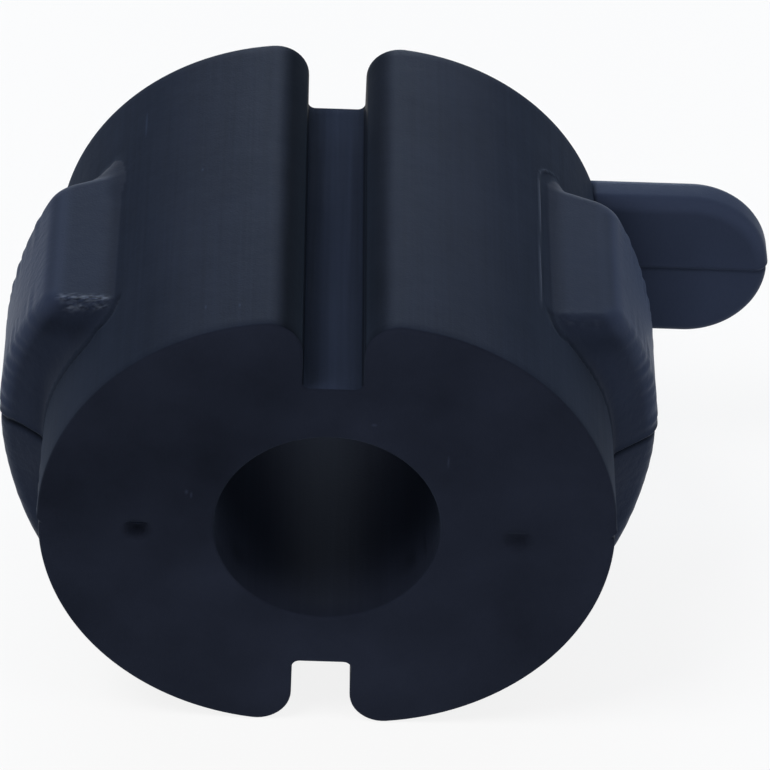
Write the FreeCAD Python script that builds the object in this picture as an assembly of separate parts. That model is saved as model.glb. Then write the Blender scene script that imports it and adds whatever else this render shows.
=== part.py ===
"""Sway bar bushing: one rubber moulding that seats a sway bar in its bracket.

An obround barrel lies along Y, the direction of the bar, and is bored through its middle.
A relief slot runs along its top and its bottom, so that the rubber can be squeezed onto the bar.
A wing stands out on each side and locates the barrel in the bracket.
A flat tongue at the back end of one side shows which way round the bushing goes.

The origin is on the axis of the bore, at the middle of the barrel's length. Sizes are in mm.
"""
import FreeCAD
import Part
import math
import os

# Barrel: two arcs side by side, joined by short flats at the top and the bottom
barrel_arc_radius = 26.0
barrel_arc_offset = 4.0       # each arc's centre, left and right of the bore
barrel_length = 51.5
barrel_rim_break = 0.25       # bevel that takes the sharpness off the rims of both ends
bore_diameter = 23.5
bore_rim_break = 0.25

# Relief slots at the top and the bottom
slot_width = 6.2
slot_depth = 8.1              # from the barrel's top
slot_lip_round = 3.6
slot_floor_round = 0.8

# Wings: a collar turned about the bore, of which only the two sides are kept
wing_rise = 4.85              # how far a wing stands out from the barrel's side
wing_land = 15.7              # width of the collar's outer band along the bore, edges not rounded
wing_flank_angle = 50.0       # degrees between a flank and the bore
wing_edge_round = 3.2         # between the outer band and a flank
wing_root_blend = 2.6         # hollow blend from a wing down to the barrel
wing_seat_depth = 6.0         # how far the collar is sunk into the barrel

# Pads: the flats that end each wing above and below
pad_drop = 8.05               # from the barrel's top down to where a pad runs out into it
pad_slope = 8.5               # degrees that a pad falls towards its outer edge
pad_edge_round = 2.2          # between a pad and the turned faces

# Tongue
tongue_thickness = 5.0
tongue_height = 17.8
tongue_reach = 18.35          # from the barrel's side to the tip
tongue_overhang = 1.75        # how far its back stands behind the barrel's end
tongue_edge_round = 1.6
tongue_seat_depth = 6.0       # how far its root is sunk into the barrel

# Pits: a shallow mark of the mould on each side of the front end
pit_width = 2.3
pit_height = 1.7
pit_depth = 0.4
pit_corner_round = 0.4
pit_spacing = 39.4            # from the middle of one to the middle of the other

overshoot = 1.0               # extra length of a cutting body, past the face that it cuts
tolerance = 0.01              # nearness at which two places count as the same
edge_samples = 5              # places along an edge at which its position is tested

barrel_half_width = barrel_arc_offset + barrel_arc_radius
barrel_half_length = barrel_length / 2
bore_radius = bore_diameter / 2
slot_half_width = slot_width / 2
slot_floor_height = barrel_arc_radius - slot_depth
lip_outer_x = slot_half_width + slot_lip_round
wing_radius = barrel_half_width + wing_rise
pad_inner_height = barrel_arc_radius - pad_drop
pad_inner_x = barrel_arc_offset + math.sqrt(barrel_arc_radius ** 2 - pad_inner_height ** 2)

along_bore = FreeCAD.Vector(0, 1, 0)


def vector(x, y, z):
    return FreeCAD.Vector(x, y, z)


def line(start, end):
    return Part.LineSegment(start, end).toShape()


def arc(start, middle, end):
    return Part.Arc(start, middle, end).toShape()


def prism(corners, length):
    """Solid from an outline of corners, run along the bore."""
    outline = Part.makePolygon(corners + corners[:1])
    return Part.Face(outline).extrude(along_bore * length)


def near(value, target):
    return abs(value - target) < tolerance


def radius_of(point):
    """Distance of a point from the bore's axis."""
    return math.hypot(point.x, point.z)


def on_barrel(point):
    beyond_flat = max(abs(point.x) - barrel_arc_offset, 0.0)
    return near(math.hypot(beyond_flat, point.z), barrel_arc_radius)


def beside_slots(point):
    return abs(point.x) > lip_outer_x


def at_barrel_end(point):
    return near(abs(point.y), barrel_half_length)


def short_of_ends(point):
    return abs(point.y) < barrel_half_length - tolerance


def at_bore(point):
    return near(radius_of(point), bore_radius)


def outside_bore(point):
    return radius_of(point) > bore_radius + tolerance


def edges_where(shape, *tests):
    """Edges of which every sampled point passes every test."""
    found = []
    for edge in shape.Edges:
        step = (edge.LastParameter - edge.FirstParameter) / (edge_samples - 1)
        points = [edge.valueAt(edge.FirstParameter + step * i) for i in range(edge_samples)]
        if all(test(point) for test in tests for point in points):
            found.append(edge)
    return found


def quarter_outline(side, up):
    """Edges of the barrel's outline from the middle of a slot's floor out to the arc's start.

    side is 1 or -1 for right or left, and up is 1 or -1 for top or bottom.
    The arc's start comes back with the edges.
    """
    def at(x, z):
        return vector(side * x, -barrel_half_length, up * z)

    def on_lip(turn):
        return at(lip_outer_x + slot_lip_round * math.cos(turn),
                  lip_z + slot_lip_round * math.sin(turn))

    # The lip's round touches the slot's wall on one side and the barrel's surface on the other
    lip_beyond_flat = max(lip_outer_x - barrel_arc_offset, 0.0)
    lip_z = math.sqrt((barrel_arc_radius - slot_lip_round) ** 2 - lip_beyond_flat ** 2)
    crest_turn = math.atan2(lip_z, lip_beyond_flat)
    crest = on_lip(crest_turn)
    lip_middle = on_lip((crest_turn + math.pi) / 2)
    wall_top = at(slot_half_width, lip_z)

    corner_inset = slot_floor_round * (1 - math.sqrt(0.5))
    floor_middle = at(0, slot_floor_height)
    floor_end = at(slot_half_width - slot_floor_round, slot_floor_height)
    corner_middle = at(slot_half_width - corner_inset, slot_floor_height + corner_inset)
    wall_foot = at(slot_half_width, slot_floor_height + slot_floor_round)

    edges = [line(floor_middle, floor_end), arc(floor_end, corner_middle, wall_foot),
             line(wall_foot, wall_top), arc(wall_top, lip_middle, crest)]
    if lip_beyond_flat > 0:
        return edges, crest
    arc_start = at(barrel_arc_offset, barrel_arc_radius)
    return edges + [line(crest, arc_start)], arc_start


def bore():
    start = vector(0, -barrel_half_length - overshoot, 0)
    return Part.makeCylinder(bore_radius, barrel_length + 2 * overshoot, start, along_bore)


def slotted_barrel():
    """The obround body with its two slots and its bore."""
    outline = []
    for side in (1, -1):
        upper_edges, upper_start = quarter_outline(side, 1)
        lower_edges, lower_start = quarter_outline(side, -1)
        side_middle = vector(side * barrel_half_width, -barrel_half_length, 0)
        outline += upper_edges + lower_edges + [arc(upper_start, side_middle, lower_start)]
    end = Part.Face(Part.Wire(Part.__sortEdges__(outline)))
    return end.extrude(along_bore * barrel_length).cut(bore())


def collar():
    """The whole turned collar, from inside the barrel out to the wings' outer band.

    Its section is a low trapezium. A round joins the outer band to each flank.
    """
    def at(y, radius):
        return vector(0, y, radius)

    flank_turn = math.radians(wing_flank_angle)
    inner = barrel_arc_radius - wing_seat_depth
    half_land = wing_land / 2
    half_foot = half_land + (wing_radius - inner) / math.tan(flank_turn)
    setback = wing_edge_round * math.tan(flank_turn / 2)
    round_y = half_land - setback
    round_radius = wing_radius - wing_edge_round
    middle_y = round_y + wing_edge_round * math.sin(flank_turn / 2)
    middle_radius = round_radius + wing_edge_round * math.cos(flank_turn / 2)
    flank_y = round_y + wing_edge_round * math.sin(flank_turn)
    flank_radius = round_radius + wing_edge_round * math.cos(flank_turn)
    section = Part.Wire([line(at(-half_foot, inner), at(-flank_y, flank_radius)),
                         arc(at(-flank_y, flank_radius), at(-middle_y, middle_radius),
                             at(-round_y, wing_radius)),
                         line(at(-round_y, wing_radius), at(round_y, wing_radius)),
                         arc(at(round_y, wing_radius), at(middle_y, middle_radius),
                             at(flank_y, flank_radius)),
                         line(at(flank_y, flank_radius), at(half_foot, inner)),
                         line(at(half_foot, inner), at(-half_foot, inner))])
    return Part.Face(section).revolve(vector(0, 0, 0), along_bore, 360)


def pad_height_at(x):
    return pad_inner_height - (x - pad_inner_x) * math.tan(math.radians(pad_slope))


def on_a_pad(point):
    return near(abs(point.z), pad_height_at(abs(point.x)))


def beyond_seat(point):
    """Clear of the wing's inner face, which is sunk in the barrel."""
    return abs(point.x) > pad_inner_x - wing_seat_depth + tolerance


def wing(side):
    """One wing: the part of the collar between its two pads, with the pads' edges rounded."""
    inner = pad_inner_x - wing_seat_depth
    outer = wing_radius + overshoot
    corners = []
    for x, up in ((inner, -1), (outer, -1), (outer, 1), (inner, 1)):
        corners.append(vector(side * x, -barrel_half_length, up * pad_height_at(x)))
    body = collar().common(prism(corners, barrel_length)).Solids[0]
    return body.makeFillet(pad_edge_round, edges_where(body, on_a_pad, beyond_seat))


def add_wings(body):
    """Join both wings to the barrel and blend their roots into it."""
    body = body.fuse([wing(1), wing(-1)]).removeSplitter()
    root = edges_where(body, on_barrel, beside_slots, short_of_ends)
    return body.makeFillet(wing_root_blend, root)


def break_rims(body):
    """Take the sharpness off both ends, outside and at the bore."""
    body = body.makeChamfer(bore_rim_break, edges_where(body, at_barrel_end, at_bore))
    return body.makeChamfer(barrel_rim_break, edges_where(body, at_barrel_end, outside_bore))


def pit(side):
    """Cutting body for the pit on one side of the front end."""
    corner = vector(side * pit_spacing / 2 - pit_width / 2, -barrel_half_length - overshoot,
                    -pit_height / 2)
    block = Part.makeBox(pit_width, overshoot + pit_depth, pit_height, corner)
    upright = [edge for edge in block.Edges if near(edge.Length, overshoot + pit_depth)]
    return block.makeFillet(pit_corner_round, upright)


def tongue():
    """The flat tongue, full round at its tip, with the edges of both faces rounded."""
    back = barrel_half_length + tongue_overhang
    front = back - tongue_thickness
    half_height = tongue_height / 2
    tip_x = barrel_half_width + tongue_reach
    round_x = tip_x - half_height
    root_x = barrel_half_width - tongue_seat_depth

    def at(x, z):
        return vector(x, front, z)

    def on_a_face(point):
        return near(point.y, front) or near(point.y, back)

    outline = Part.Wire([line(at(root_x, -half_height), at(round_x, -half_height)),
                         arc(at(round_x, -half_height), at(tip_x, 0), at(round_x, half_height)),
                         line(at(round_x, half_height), at(root_x, half_height)),
                         line(at(root_x, half_height), at(root_x, -half_height))])
    plate = Part.Face(outline).extrude(along_bore * tongue_thickness)
    return plate.makeFillet(tongue_edge_round, edges_where(plate, on_a_face))


def bushing():
    body = break_rims(add_wings(slotted_barrel()))
    body = body.cut([pit(1), pit(-1)])
    return body.fuse(tongue()).removeSplitter()


os.makedirs("parts", exist_ok=True)
bushing().exportStep("parts/bushing.step")
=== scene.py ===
"""Looks of the sway bar bushing: its rubber with the marks of the mould, the floor, light and camera.

The bushing is one rubber moulding, so it is one closed mesh. Its main sizes are the solid's own.
The wings' outer band, flanks, root blends and edge rounds follow the moulding more closely than the
solid's do, and so do the pits.
Lengths are in millimetres up to the meshes, the lamps and the camera, which take metres.
X runs to the right, Y along the bore and away from the camera, and Z up.
"""

import math

import bpy
import numpy as np
from mathutils import Matrix, Vector
from mathutils.geometry import delaunay_2d_cdt


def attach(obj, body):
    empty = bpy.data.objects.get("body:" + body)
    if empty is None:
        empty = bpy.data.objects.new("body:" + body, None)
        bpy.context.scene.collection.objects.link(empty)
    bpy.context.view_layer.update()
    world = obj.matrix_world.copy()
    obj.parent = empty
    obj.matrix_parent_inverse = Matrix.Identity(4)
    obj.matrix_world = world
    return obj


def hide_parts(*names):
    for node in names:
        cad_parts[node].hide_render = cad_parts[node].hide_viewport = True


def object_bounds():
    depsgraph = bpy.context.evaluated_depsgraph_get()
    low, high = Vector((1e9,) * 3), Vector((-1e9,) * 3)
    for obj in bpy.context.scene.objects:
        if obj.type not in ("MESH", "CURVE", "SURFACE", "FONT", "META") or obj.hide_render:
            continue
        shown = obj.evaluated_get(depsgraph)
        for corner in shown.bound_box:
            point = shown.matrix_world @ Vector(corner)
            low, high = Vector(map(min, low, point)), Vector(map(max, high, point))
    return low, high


MM = 0.001

# Barrel: two arcs side by side, with a slot at the top and the bottom
ARC_RADIUS = 26.0
ARC_OFFSET = 4.0
HALF_LENGTH = 25.75
RIM_ROUND = 0.34
BORE_RADIUS = 11.75
BORE_RIM_ROUND = 0.3
SLOT_HALF_WIDTH = 3.1
SLOT_DEPTH = 8.1
LIP_ROUND = 3.6
FLOOR_ROUND = 0.8

# Wings: an outer band that follows the barrel's arc, cut off by a pad above and below
WING_HALF_WIDTH = 34.85
BAND_RADIUS = 30.85  # about the centre of the barrel's arc on that side
WING_HALF_LAND = 7.85
FLANK_ANGLE = math.radians(50)
PAD_FLANK_WIDENING = 2.85  # towards the pads the land widens by this on each side
PAD_FLANK_STEEPENING = math.radians(19)  # and the flanks get steeper by this
WIDENING_START = math.radians(8)  # angle above or below the middle of the side
WIDENING_END = math.radians(31)
BAND_EDGE_ROUND = 3.2
PAD_DROP = 8.05
PAD_SLOPE = math.radians(8.5)
PAD_EDGE_ROUND = 1.6  # at the flanks
PAD_OUTER_ROUND = 2.4  # at the outer band
WING_REACH = 16.8  # the wings and their blends end within this distance along Y

# Hollow blend from a wing down to the barrel, with pairs of radii for the left wing and the right
# one. It changes between two angles above or below the middle of the side, in degrees.
ROOT_BLEND = 1.4
ROOT_BLEND_WIDENING = (2.2, 0.5)
FLANK_BLEND_START = (4, 18)
FLANK_BLEND_END = (30, 37)
PAD_BLEND_WIDENING = 1.3
PAD_BLEND_START = (33, 37)
CORNER_BLEND_WIDENING = (2.6, 1.0)
CORNER_BLEND_START = (26, 34)
CORNER_BLEND_Y = (6, 10)  # and along Y between these

# Tongue
TONGUE_FRONT = 22.5
TONGUE_BACK = 27.5
TONGUE_HALF_HEIGHT = 8.9
TONGUE_TIP = 48.25
TONGUE_ROOT = 24.0
TONGUE_EDGE_ROUND = 1.6
TONGUE_LINE = (0.0, 0.09, 0.18, 0.27, 0.38, 0.5, 0.65)  # stations over its parting line
TONGUE_LINE_SHARE = 0.6  # its parting line is this much of the barrel's

# Pits in the front end
PIT_SPACING = 39.4
PIT_WIDTH = 2.3
PIT_HEIGHT = 1.7
PIT_CORNER_ROUND = 0.4
PIT_DROP = 0.7  # below the middle
PIT_TAPER = 0.09  # how much wider its top is than its middle, as a share
# Rings of a pit from its rim to its floor: how far in, and how deep. The left one is sharper.
LEFT_PIT = ((-0.12, 0.0), (0.0, 0.06), (0.1, 0.2), (0.2, 0.3), (0.38, 0.32))
RIGHT_PIT = ((-0.3, 0.0), (-0.1, 0.05), (0.1, 0.17), (0.24, 0.27), (0.38, 0.3))

SLOT_FLOOR = ARC_RADIUS - SLOT_DEPTH
LIP_X = SLOT_HALF_WIDTH + LIP_ROUND
LIP_Z = math.sqrt((ARC_RADIUS - LIP_ROUND) ** 2 - (LIP_X - ARC_OFFSET) ** 2)
CREST_TURN = math.atan2(LIP_Z, LIP_X - ARC_OFFSET)
PAD_HEIGHT = ARC_RADIUS - PAD_DROP
PAD_INNER_X = ARC_OFFSET + math.sqrt(ARC_RADIUS ** 2 - PAD_HEIGHT ** 2)

# Parting line of the mould: a groove under a thin lip, lower on the left than on the right
RIGHT_PARTING = 0.0  # angle about the bore's axis, from the middle of the side
LEFT_PARTING = math.radians(-0.65)
LEFT_WAVER = 0.05  # how far the left line wavers up and down
LEFT_WAVER_TURN = 1.9  # radians of the waver for each mm along Y
LEFT_RISE = 0.38  # how far it rises over the wing's front flank
LEFT_RISE_Y = -10.3
LEFT_RISE_WIDTH = 1.7
PARTING_BREADTH = (1.5, 1.2)  # of the left line and the right one, against the widths below
GROOVE_DEPTH = 0.3
GROOVE_WIDTH = 0.25
FLASH_HEIGHT = 0.12
FLASH_PLACE = 0.42  # how far above the groove the lip's crest is
FLASH_WIDTH = 0.16
LOWER_SHIFT = 0.12  # how far the lower half of the mould was set in
SHIFT_FADE = 5.0
PARTING_FADE = (18, 12)  # the line's relief fades out between these heights

# Ridges that the cutter left across the wings' rounded edges: three waves up the side
RIDGE_HEIGHT = 0.047
RIDGE_PITCHES = (1.7, 2.35, 1.2)
RIDGE_WEAKENING = 0.5  # what each wave's divisor grows by
RIDGE_WAVE_TURN = 1.9  # radians that each wave starts after the one before
RIDGE_SLANT = 0.11  # radians for each mm along Y
RIDGE_LEFT_TURN = 1.3  # radians that the left side's are ahead
RIDGE_Y = (3.5, 5.5)  # they start between these distances from the middle
RIDGE_BELOW_BAND = (2.2, 0.6)  # and between these depths under the outer band
RIDGE_TOP = 15.5  # towards this height they fade
RIDGE_TOP_FADE = 3.0
RIDGE_TOP_SHARE = 0.15  # and this is left
RIDGE_FOOT = 1.5  # below this height they fade
RIDGE_LOWER_SHARE = 0.2  # and this is left

# Crease along the front root of a wing
CREASE_DEPTH = 0.12
CREASE_WIDTH = 0.2
CREASE_Y = (-11, -12)  # it starts between these places

# Seam of a mould insert, along the inner edge of the right pad
SEAM_HEIGHT = 0.2
SEAM_WIDTH = 0.12
SEAM_TURN = math.radians(48.2)  # about the barrel arc's centre, at the front
SEAM_LEAN = math.radians(1.1)  # how much lower it is at the bend
SEAM_HOOK = math.radians(12)  # how far round the barrel its hook goes
SEAM_FRONT = -12.7
SEAM_BEND = 12.2
SEAM_BACK = 15.6
SEAM_FADE = (1.5, 1.0)  # how far it fades in at the front and out at the back

# Painted highlight lines with scuff specks along the upper pads' front edges: lines, each by its place
# along Y at the pad's outer corner and its half width. Shares are for the left pad and the right one,
# and the pairs of X say from where to where a line grows.
PAD_CORNER_X = 28.3
PAD_EDGE_LEAN = 0.21  # how far the edge comes forward for each mm towards the barrel
PAD_EDGE_FOOT = 15.5  # lowest place of the scuffs
UPPER_SCUFF_HIGHLIGHT = (-9.9, 0.5)
UPPER_SCUFF_HIGHLIGHT_SHARE = (1.1, 0.07)
LOWER_SCUFF_HIGHLIGHT = (-11.0, 0.28)
LOWER_SCUFF_HIGHLIGHT_SHARE = (0.5, 0.1)
SCUFF_HIGHLIGHT_INNER_X = (23.0, 23.8)
SCUFF_HIGHLIGHT_OUTER_X = (28.9, 28.1)
# Painted highlight line along the inner half of the left pad's front edge
EDGE_HIGHLIGHT_LINE = (-9.75, 0.2)
EDGE_HIGHLIGHT_SHARE = 0.9
EDGE_HIGHLIGHT_INNER_X = (22.9, 23.4)
EDGE_HIGHLIGHT_OUTER_X = (26.8, 26.0)

# Rubber: base colour, tint of its gloss and bloom, roughness and strength of its gloss
BASE_COLOUR = (0.0092, 0.0113, 0.0192)  # of the ends and the bore
SKIN_COLOUR = (0.0092, 0.0123, 0.0222)
GLOSS_TINT = (0.5, 0.66, 1.0, 1.0)
BLOOM_TINT = (0.5, 0.68, 1.0, 1.0)
# Grey tint of the scuffs and of the painted highlight lines
DUST_AND_HIGHLIGHT_TINT = (0.85, 0.97, 1.2)
SKIN_BLOOM = 0.04
CORE_BLOOM = 0.012  # in the bore and on the slots' walls
BLOOM_ROUGHNESS = 0.5
SKIN_ROUGHNESS = 0.42
END_ROUGHNESS = 0.5
BORE_ROUGHNESS = 0.42
SKIN_GLOSS = 0.015
END_GLOSS = 0.007
BORE_GLOSS = 0.008
DARKEST = 0.1  # least share of the base colour that is left
ALONG_BORE = (1, 60, 1)  # how far streaks are drawn out along each axis
SCUFF_GRAIN = (1.6, 0.7, 1)  # and the specks of a scuff

# Painted light and shade: how much paler the rubber is on some parts, below zero for darker
# Painted light on the pads' upper faces
PAD_PALENESS = 0.4
PAD_EDGE_PALENESS = -0.9  # painted shade along each pad's outer edge
PAD_EDGE_X = (29.6, 29.0)  # place of that edge on the left and on the right
BAND_PALENESS = 1.6  # painted highlight on the wings' outer band
FLANK_PALENESS = (0.0, 0.3)  # painted light on the left wing's flanks and the right one's
UNDER_PAD_PALENESS = -0.35  # painted shade on the flank just below each pad
# Painted shade in the crease along each wing's front root
CREASE_PALENESS = -0.4
# Painted light on the tongue
TONGUE_PALENESS = 1.0
TONGUE_RIM_PALENESS = 0.7  # painted highlight, more than the rest of it, on the rim's upper half
BARREL_SIDE_PALENESS = -0.2  # painted shade where the barrel turns down to the upper pads
LIP_PALENESS = (-1.0, -0.65)  # painted shade on the left lip of the upper slot and the right one
FLOOR_PALENESS = (0.85, -0.28)  # painted light in the middle and painted shade at the sides of the slots' floors
GROOVE_PALENESS = -0.9  # painted shade inside the parting line
TONGUE_GROOVE_SHARE = 0.5  # and this much of it on the tongue
# Painted highlight on the right pad's seam: paler rubber and some of the grey tint
SEAM_HIGHLIGHT_PALENESS = 0.3
SEAM_HIGHLIGHT_SHARE = 0.8
BARREL_SIDE_DULLNESS = 0.3  # how much rougher the barrel's sides and the slots' floors are
LIP_DULLNESS = 0.4
SLOT_DRAWN, BARREL_DRAWN, OTHER_DRAWN = 1.0, 0.45, 0.1  # strength of the streaks

# Scratches, each by its place and half size
SKIN_SCUFFS = (
    ((-20.42, 17.9, 20.15), (0.16, 3.0, 0.3)),
    ((-9.67, -21.83, 25.37), (0.16, 0.4, 0.3)),
    ((-13.12, -20.94, 24.35), (0.16, 0.4, 0.3)),
    ((-14.1, 4.18, 23.96), (0.16, 0.35, 0.3)),
)
END_SCUFFS = (
    ((4.4, -25.75, 13.61), (0.4, 0.5, 0.25)),
    ((12.17, -25.75, 9.2), (0.14, 0.5, 1.0)),
    ((-14.6, -25.75, 4.3), (0.25, 0.5, 0.4)),
    ((-14.1, -25.75, 3.9), (0.18, 0.5, 0.5)),
)
# Soft patches of painted shade and light on the front end, by place, half size and paleness: upper
# left, top, pits and foot; only the foot is paler
END_PATCHES = (
    ((-20, -25.75, 8), (24, 5, 16), -0.4),
    ((0, -25.75, 20), (18, 5, 7), -0.2),
    ((-19.65, -25.5, -0.8), (1.8, 2, 1.5), -0.75),
    ((19.8, -25.5, -0.8), (1.9, 2, 1.8), -0.45),
    ((3, -25.75, -20), (20, 5, 9), 0.3),
)

# Camera: its place, the way it looks in radians, and its lens and sensor in mm
CAMERA_PLACE = (-7.355, -485.018, 360.323)
CAMERA_YAW = 0.02753
CAMERA_PITCH = 0.63926  # downwards
CAMERA_ROLL = 0.0477
CAMERA_LENS = 263.9
CAMERA_SENSOR = 36
CAMERA_CLIP = (0.01, 20)  # metres

# Lamps: name, azimuth from behind and elevation in degrees, size in metres, watts and tint
LAMP_DISTANCE = 1.3  # metres
WHITE = (1, 1, 1)
COOL = (0.86, 1.0, 1.18)
LAMPS = (
    ("back", 0, 35, (1.8, 0.55), 8.7, COOL),
    ("low_back", 0, 12, (0.55, 0.5), 7.0, COOL),
    ("low_front", 180, 12, (0.55, 0.5), 8.4, WHITE),
    ("low_left", 250, 12, (0.55, 0.5), 1.8, WHITE),
    ("low_right", 110, 12, (0.55, 0.5), 4.0, WHITE),
    ("key", 240, 60, (0.55, 0.55), 9.6, WHITE),
    ("fill", 120, 60, (0.55, 0.55), 1.8, WHITE),
)
STUDIO_STRENGTH = 0.01
FLOOR_HALF = 4.0  # metres
FLOOR_TONE = 0.8
FLOOR_ROUGHNESS = 0.9
FLOOR_WHITENESS = 0.85  # how much of it is plain white where it is seen

# Spacing of the mesh
WING_STEP = 0.25  # along Y over the wings
PLAIN_STEP = 1.1  # elsewhere along Y, and round the top and the bottom
WING_SPREAD = math.radians(44)  # how far the close spacing goes up and down from a side
RAY_STEP = math.radians(0.5)
PARTING_OFFSETS = (-0.8, -0.6, -0.45, -0.32, -0.2, -0.1, 0.0, 0.1, 0.2, 0.3, 0.42, 0.54, 0.7)
BORE_RINGS = 24
HALVINGS = 36  # steps that find the skin along a ray
SEARCH_MARGIN = 0.3  # how far under the barrel's skin they start
END_STEP = 1.3  # between the points that fill an end face
END_CLEAR = 0.7  # and from those on its outlines
SMOOTH_ANGLE = math.radians(38)  # edges sharper than this stay sharp

# Numbers of the three rubbers on the mesh: the skin, the ends, the bore with the slots' walls
SKIN, ENDS, CORE = range(3)


def turn_arc(centre, radius, start, end, steps, hollow=False):
    """Stations along an arc of the section: x, z and the outward normal's x and z."""
    stations = []
    for turn in np.linspace(start, end, steps + 1):
        out = (math.cos(turn), math.sin(turn))
        side = -1 if hollow else 1
        stations.append((centre[0] + radius * out[0], centre[1] + radius * out[1],
                         side * out[0], side * out[1]))
    return stations


def arc_turn(ray):
    """Turn about the barrel arc's centre of the place that a ray from the bore's axis meets."""
    return ray + math.asin(ARC_OFFSET * math.sin(ray) / ARC_RADIUS)


def side_stations(parting):
    """Stations on the right arc, from one lip's crest to the other's, which are left out."""
    line = [parting + offset / WING_HALF_WIDTH for offset in PARTING_OFFSETS]
    count = round(WING_SPREAD / RAY_STEP)
    even = [WING_SPREAD * i / count for i in range(-count, count + 1)]
    clear = RAY_STEP / 2
    rays = line + [ray for ray in even if ray < line[0] - clear or ray > line[-1] + clear]
    last = arc_turn(WING_SPREAD)
    plain_count = round((CREST_TURN - last) * ARC_RADIUS / PLAIN_STEP)
    plain = np.linspace(last, CREST_TURN, plain_count + 1)[1:-1]
    turns = sorted([arc_turn(ray) for ray in rays] + [*plain, *-plain], reverse=True)
    out = np.stack([np.cos(turns), np.sin(turns)], -1)
    return np.concatenate([out * ARC_RADIUS + (ARC_OFFSET, 0), out], -1)


def lip_stations():
    """Stations from the middle of a slot's floor, up its wall and over the lip to its crest."""
    flat_end = SLOT_HALF_WIDTH - FLOOR_ROUND
    stations = [(x, SLOT_FLOOR, 0.0, 1.0) for x in (0.0, flat_end / 2)]
    stations += turn_arc((flat_end, SLOT_FLOOR + FLOOR_ROUND), FLOOR_ROUND, -math.pi / 2, 0, 5,
                         hollow=True)
    wall = np.linspace(SLOT_FLOOR + FLOOR_ROUND, LIP_Z, 6)[1:-1]
    stations += [(SLOT_HALF_WIDTH, z, -1.0, 0.0) for z in wall]
    stations += turn_arc((LIP_X, LIP_Z), LIP_ROUND, math.pi, CREST_TURN, 12)
    return np.array(stations)


def section_loop():
    """The whole closed section, clockwise from the middle of the upper slot's floor.

    Returns the points and their outward normals as arrays of (x, z).
    """
    lip = lip_stations()
    right_down = np.concatenate([lip, side_stations(RIGHT_PARTING), lip[::-1] * (1, -1, 1, -1)])
    left_up = np.concatenate([lip[1:] * (1, -1, 1, -1), side_stations(LEFT_PARTING)[::-1],
                              lip[:0:-1]]) * (-1, 1, -1, 1)
    loop = np.concatenate([right_down, left_up])
    return loop[:, :2], loop[:, 2:]


def ring_places():
    """Places along Y of the skin's rings between the rounds of both rims."""
    near = np.linspace(0, WING_REACH, round(WING_REACH / WING_STEP) + 1)
    last = HALF_LENGTH - RIM_ROUND
    far = np.linspace(WING_REACH, last, round((last - WING_REACH) / PLAIN_STEP) + 1)[1:]
    half = np.concatenate([near, far])
    return np.concatenate([-half[::-1], half[1:]])


def length_of(vectors):
    return np.sqrt((vectors ** 2).sum(-1))


def round_edge(first, second, radius):
    """The overlap of two bodies, with the edge between their surfaces rounded.

    A body is given by the distances of the points from its surface, above zero outside,
    and the surface's normals there.
    """
    (distance_a, normal_a), (distance_b, normal_b) = first, second
    a = distance_a + radius
    b = distance_b + radius
    cosine = np.clip((normal_a * normal_b).sum(-1), -0.999, 0.999)
    share_a = (a - b * cosine) / (1 - cosine ** 2)
    share_b = (b - a * cosine) / (1 - cosine ** 2)
    turning = (share_a > 0) & (share_b > 0)
    share_a = np.where(turning, share_a, (a >= b) * 1.0)
    share_b = np.where(turning, share_b, (a < b) * 1.0)
    joined = share_a[..., None] * normal_a + share_b[..., None] * normal_b
    size = length_of(joined)
    return np.where(turning, size, np.maximum(a, b)) - radius, joined / size[..., None]


def hollow_edge(first, second, radius):
    """Two bodies joined, with a hollow blend along the line where their surfaces meet."""
    distance, normal = round_edge((-first[0], -first[1]), (-second[0], -second[1]), radius)
    return -distance, -normal


def barrel_body(points):
    beyond = np.sign(points[..., 0]) * np.maximum(abs(points[..., 0]) - ARC_OFFSET, 0)
    out = np.stack([beyond, np.zeros_like(beyond), points[..., 2]], -1)
    size = length_of(out)
    return size - ARC_RADIUS, out / size[..., None]


def even_share(value, zero, one):
    """A share that goes evenly from 0 at one value to 1 at another."""
    return np.clip((value - zero) / (one - zero), 0, 1)


def soft_share(value, zero, one):
    """The same with a gentle start and end."""
    share = even_share(value, zero, one)
    return share ** 2 * (3 - 2 * share)


def above_pad(points):
    """Height over the plane of the nearest pad."""
    x, _, z = np.moveaxis(abs(points), -1, 0)
    return (z - PAD_HEIGHT) * math.cos(PAD_SLOPE) + (x - PAD_INNER_X) * math.sin(PAD_SLOPE)


def wing_body(points):
    """A wing between its two pads, with its edges rounded.

    The flanks are cones beside the middle of each side and get steeper towards the pads.
    """
    x, y, z = np.moveaxis(points, -1, 0)
    from_barrel, radial = barrel_body(points)
    over_band = from_barrel + ARC_RADIUS - BAND_RADIUS
    along = np.stack([np.zeros_like(x), np.sign(y), np.zeros_like(x)], -1)
    share = soft_share(np.arctan2(abs(z), abs(x)), WIDENING_START, WIDENING_END)
    half_land = WING_HALF_LAND + PAD_FLANK_WIDENING * share
    angle = FLANK_ANGLE + PAD_FLANK_STEEPENING * share
    sine, cosine = np.sin(angle), np.cos(angle)
    flank_distance = (abs(y) - half_land) * sine + over_band * cosine
    flank = flank_distance, along * sine[..., None] + radial * cosine[..., None]
    collar = round_edge((over_band, radial), flank, BAND_EDGE_ROUND)
    pad_normal = np.stack([np.sign(x) * math.sin(PAD_SLOPE), np.zeros_like(x),
                           np.sign(z) * math.cos(PAD_SLOPE)], -1)
    outward = soft_share((collar[1] * radial).sum(-1), 0, 1)
    edge_round = PAD_EDGE_ROUND + (PAD_OUTER_ROUND - PAD_EDGE_ROUND) * outward
    return round_edge(collar, (above_pad(points), pad_normal), edge_round)


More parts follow.
